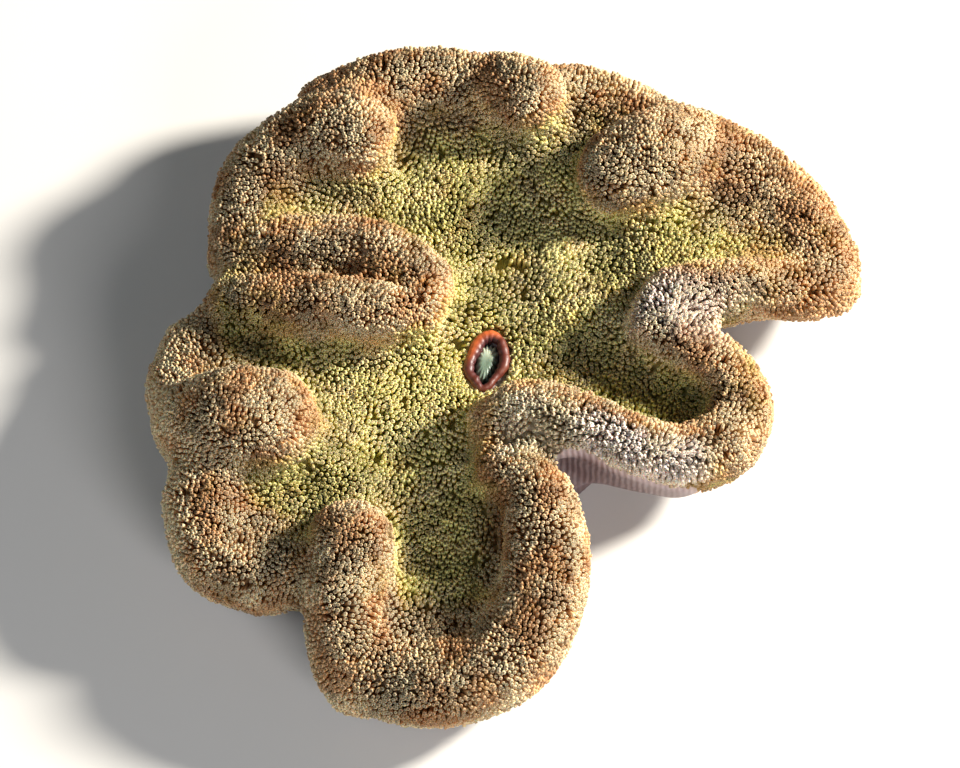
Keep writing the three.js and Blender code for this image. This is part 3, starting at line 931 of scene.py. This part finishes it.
LIP_TUBE = 0.3  # radius of the lips' tube before it is laid on the mouth's oval
PLEATS = 15
POINTS_PER_PLEAT = 6
THROAT_LOW = 38.5 * MM
THROAT_HIGH = 47.0 * MM
THROAT_WALL = 0.7  # height of the throat's side, as a share of the throat's
# Width and rise of each ring from the throat's rim in to its middle.
THROAT_RINGS = ((0.08, 0.16), (0.16, 0.12), (0.2, 0.06), (0.2, 0.02), (0.2, -0.04))


def lip_material(colours):
    """Orange where the attribute is warm, dull red elsewhere as painted shade, maroon at the inner
    edge
    """
    nodes = Nodes("lip_membrane")
    inner, warm, _, _ = nodes.channels("around")
    # The dull side is dimmed lip red and maroon: painted shade on the lips' south and east.
    dull = nodes.mix(nodes.noise(240.0), dimmed(colours.lips, 0.32), colours.maroon)
    colour = nodes.mix(warm, dull, colours.lips)
    colour = nodes.mix(nodes.steps(inner, (0.35, 0.0), (0.85, 1.0)), colour, colours.maroon)
    colour = nodes.mix(nodes.math("MULTIPLY", nodes.noise(500.0), 0.35), colour, colours.maroon)
    nodes.bump(nodes.noise(700.0, 2.0), 0.3 * MM, 0.6)
    return nodes.finish(colour, 0.5, coat=0.12, coat_roughness=0.3)


def throat_material(colours):
    """Pale ridges and dark grooves, greener to the south"""
    nodes = Nodes("throat_membrane")
    ridge, north, _, _ = nodes.channels("around")
    green = tuple(c * s for c, s in zip(colours.throat, (0.28, 0.36, 0.34)))
    colour = nodes.mix(north, green, colours.throat)
    dark = nodes.mix(nodes.noise(200.0), (0.05, 0.03, 0.04), (0.06, 0.08, 0.05))
    colour = nodes.mix(ridge, dark, colour)
    nodes.bump(nodes.noise(900.0, 2.0), 0.2 * MM, 0.5)
    nodes.soften(0.3, 1.5 * MM)
    return nodes.finish(colour, 0.45, coat=0.15, coat_roughness=0.25)


def on_mouth(points):
    """Unit-oval points, with height in metres, laid on the line of the lips"""
    across = points[:, 0] * LIP_ACROSS
    along = points[:, 1] * LIP_ALONG
    cos, sin = math.cos(MOUTH_TURN), math.sin(MOUTH_TURN)
    x = across * cos - along * sin + MOUTH_CENTRE.x
    y = across * sin + along * cos + MOUTH_CENTRE.y
    return np.stack([x, y, points[:, 2]], axis=1)


class ANEMONE_OT_mouth(bpy.types.Operator):
    """Model the swollen lips and the pleated throat"""

    bl_idname = "anemone.mouth"
    bl_label = "Mouth"

    def execute(self, context):
        colours = context.scene.anemone_colours
        self.lips(lip_material(colours))
        self.throat(throat_material(colours))
        return {"FINISHED"}

    def lips(self, material):
        clear_selection()
        bpy.ops.mesh.primitive_torus_add(
            major_segments=72, minor_segments=14, major_radius=1.0, minor_radius=LIP_TUBE
        )
        lips = bpy.context.object
        lips.name = lips.data.name = "mouth_lip_ring"
        points = points_of(lips.data)
        angle = np.arctan2(points[:, 1], points[:, 0])
        out = np.hypot(points[:, 0], points[:, 1]) - 1.0
        inner = np.clip(0.5 - out / (2 * LIP_TUBE), 0, 1)
        west = 0.5 - 0.5 * np.cos(angle - math.radians(-50))
        swell = 0.85 + 0.3 * west + 0.1 * np.sin(angle * 3 + 1) + 0.07 * np.sin(angle * 7 + 2)
        pleat = np.cos(angle * 19 + 1.6 * np.sin(angle * 2 + 1)) * (0.4 + 0.6 * inner)
        wander = 0.05 * np.sin(angle * 4 + 0.5) + 0.04 * np.sin(angle * 5 + 2)
        girth = LIP_GIRTH / 2 / LIP_TUBE
        out = out * swell * (1 + 0.1 * pleat)
        height = points[:, 2] * girth * np.minimum(swell, 1.05) * (1 + 0.08 * pleat)
        height = np.where(height < 0, height * 2.2, height)
        wide = np.stack([np.cos(angle), np.sin(angle)], axis=1)
        flat = 1 + wander[:, None] + out[:, None] * girth / np.array([LIP_ACROSS, LIP_ALONG])
        laid = on_mouth(np.column_stack([wide * flat, height + MOUTH_CENTRE.z]))
        lips.data.vertices.foreach_set("co", laid.ravel())
        # The lips are orange to the west and dull to the south and east, where the dullness is
        # painted shade.
        warm = np.clip(2.6 * west - 1.5 + 0.3 * np.sin(angle * 5), 0, 1)
        around = np.stack([inner, warm, inner * 0, inner * 0], axis=1)
        set_attribute(lips.data, "around", "FLOAT_COLOR", around)
        lips.data.materials.append(material)
        lips.data.shade_smooth()
        stand_for(lips, ["mouth_lips"])

    def throat(self, material):
        clear_selection()
        bpy.ops.mesh.primitive_circle_add(
            vertices=PLEATS * POINTS_PER_PLEAT, radius=1.0, fill_type="NGON"
        )
        throat = bpy.context.object
        throat.name = throat.data.name = "pleated_throat"
        bpy.ops.object.mode_set(mode="EDIT")
        bpy.ops.mesh.select_all(action="SELECT")
        bpy.ops.mesh.extrude_region_move(TRANSFORM_OT_translate={"value": (0, 0, THROAT_WALL)})
        for width, rise in THROAT_RINGS:
            bpy.ops.mesh.inset(thickness=width)
            bpy.ops.transform.translate(value=(0, 0, rise))
        bpy.ops.mesh.poke()
        bpy.ops.mesh.select_all(action="SELECT")
        bpy.ops.mesh.normals_make_consistent(inside=False)
        bpy.ops.object.mode_set(mode="OBJECT")
        points = points_of(throat.data)
        angle = np.arctan2(points[:, 1], points[:, 0])
        reach = np.hypot(points[:, 0], points[:, 1])
        pleat = 0.5 + 0.5 * np.cos(angle * PLEATS + 0.9 * np.sin(angle * 2 + 1))
        near_rim = np.clip(reach * 2.2 - 1.1, 0, 1)
        size = (0.8 + 0.05 * np.sin(angle * 3)) * (1 - 0.08 * pleat * near_rim)
        flat = points[:, :2] * size[:, None] * np.array([0.85, 1.0]) + np.array([-0.06, 0.04])
        height = points[:, 2] * (1 - 0.1 * pleat * near_rim)
        height = THROAT_LOW + (THROAT_HIGH - THROAT_LOW) * height
        laid = on_mouth(np.column_stack([flat, height]))
        throat.data.vertices.foreach_set("co", laid.ravel())
        north = ramp(-0.1, 0.6, points[:, 1])
        groove = (0.3 + 0.4 * north) * pleat * near_rim
        ridge = np.clip(points[:, 2] * 1.3 - 0.3, 0, 1) * (1 - groove)
        around = np.stack([ridge, north, ridge * 0, ridge * 0], axis=1)
        set_attribute(throat.data, "around", "FLOAT_COLOR", around)
        throat.data.materials.append(material)
        throat.data.shade_smooth()
        stand_for(throat, ["throat"])


# ---- Stage -----------------------------------------------------------------------------------

IMAGE_WIDTH = 960
MM_PER_PIXEL = 0.55
AIM = Vector((-3.85 * MM, -11.5 * MM, 50 * MM))  # what the middle of the picture shows
# Each light's place, breadth, share of the main light's power, and tint.
LIGHTS = {
    "key": ((2.18, 0.60, 1.34), 0.42, 1.0, (1.0, 0.95, 0.87)),
    "fill": ((-1.6, -1.2, 2.0), 2.0, 0.08, (0.85, 0.93, 1.0)),
    "front": ((0.9, -2.2, 1.3), 1.2, 0.18, (0.97, 0.96, 1.0)),
}
SKY_TINT = (0.93, 0.96, 1.0)


class ANEMONE_OT_stage(bpy.types.Operator):
    """Set the plain floor, the soft light and the camera"""

    bl_idname = "anemone.stage"
    bl_label = "Stage"

    def execute(self, context):
        settings = context.scene.anemone_stage
        self.floor(settings)
        self.lights(settings)
        self.camera(settings)
        context.scene.view_settings.view_transform = "Standard"
        return {"FINISHED"}

    def floor(self, settings):
        clear_selection()
        bpy.ops.mesh.primitive_plane_add(size=12.0)
        floor = bpy.context.object
        floor.name = floor.data.name = "floor"
        nodes = Nodes("plain_floor")
        grain = nodes.noise(40.0)
        colour = nodes.mix(nodes.math("MULTIPLY", grain, 0.05), settings.floor, (0.5, 0.5, 0.5))
        floor.data.materials.append(nodes.finish(colour, 0.8))

    def area_light(self, name, place, size, power, tint):
        light = bpy.data.lights.new(name, "AREA")
        light.shape = "DISK"
        light.size = size
        light.energy = power
        light.color = tint
        lamp = bpy.data.objects.new(name, light)
        lamp.location = place
        lamp.rotation_euler = (AIM - Vector(place)).to_track_quat("-Z", "Y").to_euler()
        bpy.context.scene.collection.objects.link(lamp)

    def lights(self, settings):
        for name, (place, size, share, tint) in LIGHTS.items():
            self.area_light(name, place, size, settings.key * share, tint)
        world = bpy.data.worlds.new("sky")
        world.use_nodes = True
        background = world.node_tree.nodes["Background"]
        background.inputs["Color"].default_value = (*SKY_TINT, 1.0)
        background.inputs["Strength"].default_value = settings.sky
        bpy.context.scene.world = world

    def camera(self, settings):
        data = bpy.data.cameras.new("camera")
        camera = bpy.data.objects.new("camera", data)
        back = Vector((0, -math.cos(settings.elevation), math.sin(settings.elevation)))
        camera.location = AIM + back * settings.distance
        camera.rotation_euler = (math.pi / 2 - settings.elevation, 0, 0)
        data.sensor_width = 36
        data.lens = data.sensor_width * settings.distance / (IMAGE_WIDTH * MM_PER_PIXEL * MM)
        data.clip_end = 100
        bpy.context.scene.collection.objects.link(camera)
        bpy.context.scene.camera = camera


# ---- Panel and start -------------------------------------------------------------------------


class ANEMONE_PT_build(bpy.types.Panel):
    """Lists the pieces and the sizes and colours they are made with"""

    bl_idname = "ANEMONE_PT_build"
    bl_label = "Carpet anemone"
    bl_space_type = "VIEW_3D"
    bl_region_type = "UI"
    bl_category = "Anemone"

    def draw(self, context):
        layout = self.layout
        for operator in OPERATORS:
            layout.operator(operator.bl_idname)
        for group in SETTINGS:
            box = layout.box()
            settings = getattr(context.scene, group)
            for name in settings.__annotations__:
                box.prop(settings, name)


SETTINGS = {
    "anemone_coat": CoatSizes,
    "anemone_colours": FleshColours,
    "anemone_stage": StageSettings,
}
OPERATORS = (ANEMONE_OT_skin, ANEMONE_OT_tentacles, ANEMONE_OT_mouth, ANEMONE_OT_stage)


def register():
    for cls in (*SETTINGS.values(), *OPERATORS, ANEMONE_PT_build):
        bpy.utils.register_class(cls)
    for name, group in SETTINGS.items():
        setattr(bpy.types.Scene, name, bpy.props.PointerProperty(type=group))


def unregister():
    for name in SETTINGS:
        delattr(bpy.types.Scene, name)
    for cls in reversed((*SETTINGS.values(), *OPERATORS, ANEMONE_PT_build)):
        bpy.utils.unregister_class(cls)


def main():
    register()
    bpy.ops.anemone.skin()
    bpy.ops.anemone.tentacles()
    bpy.ops.anemone.mouth()
    bpy.ops.anemone.stage()
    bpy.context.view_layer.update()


if __name__ == "__main__":
    main()
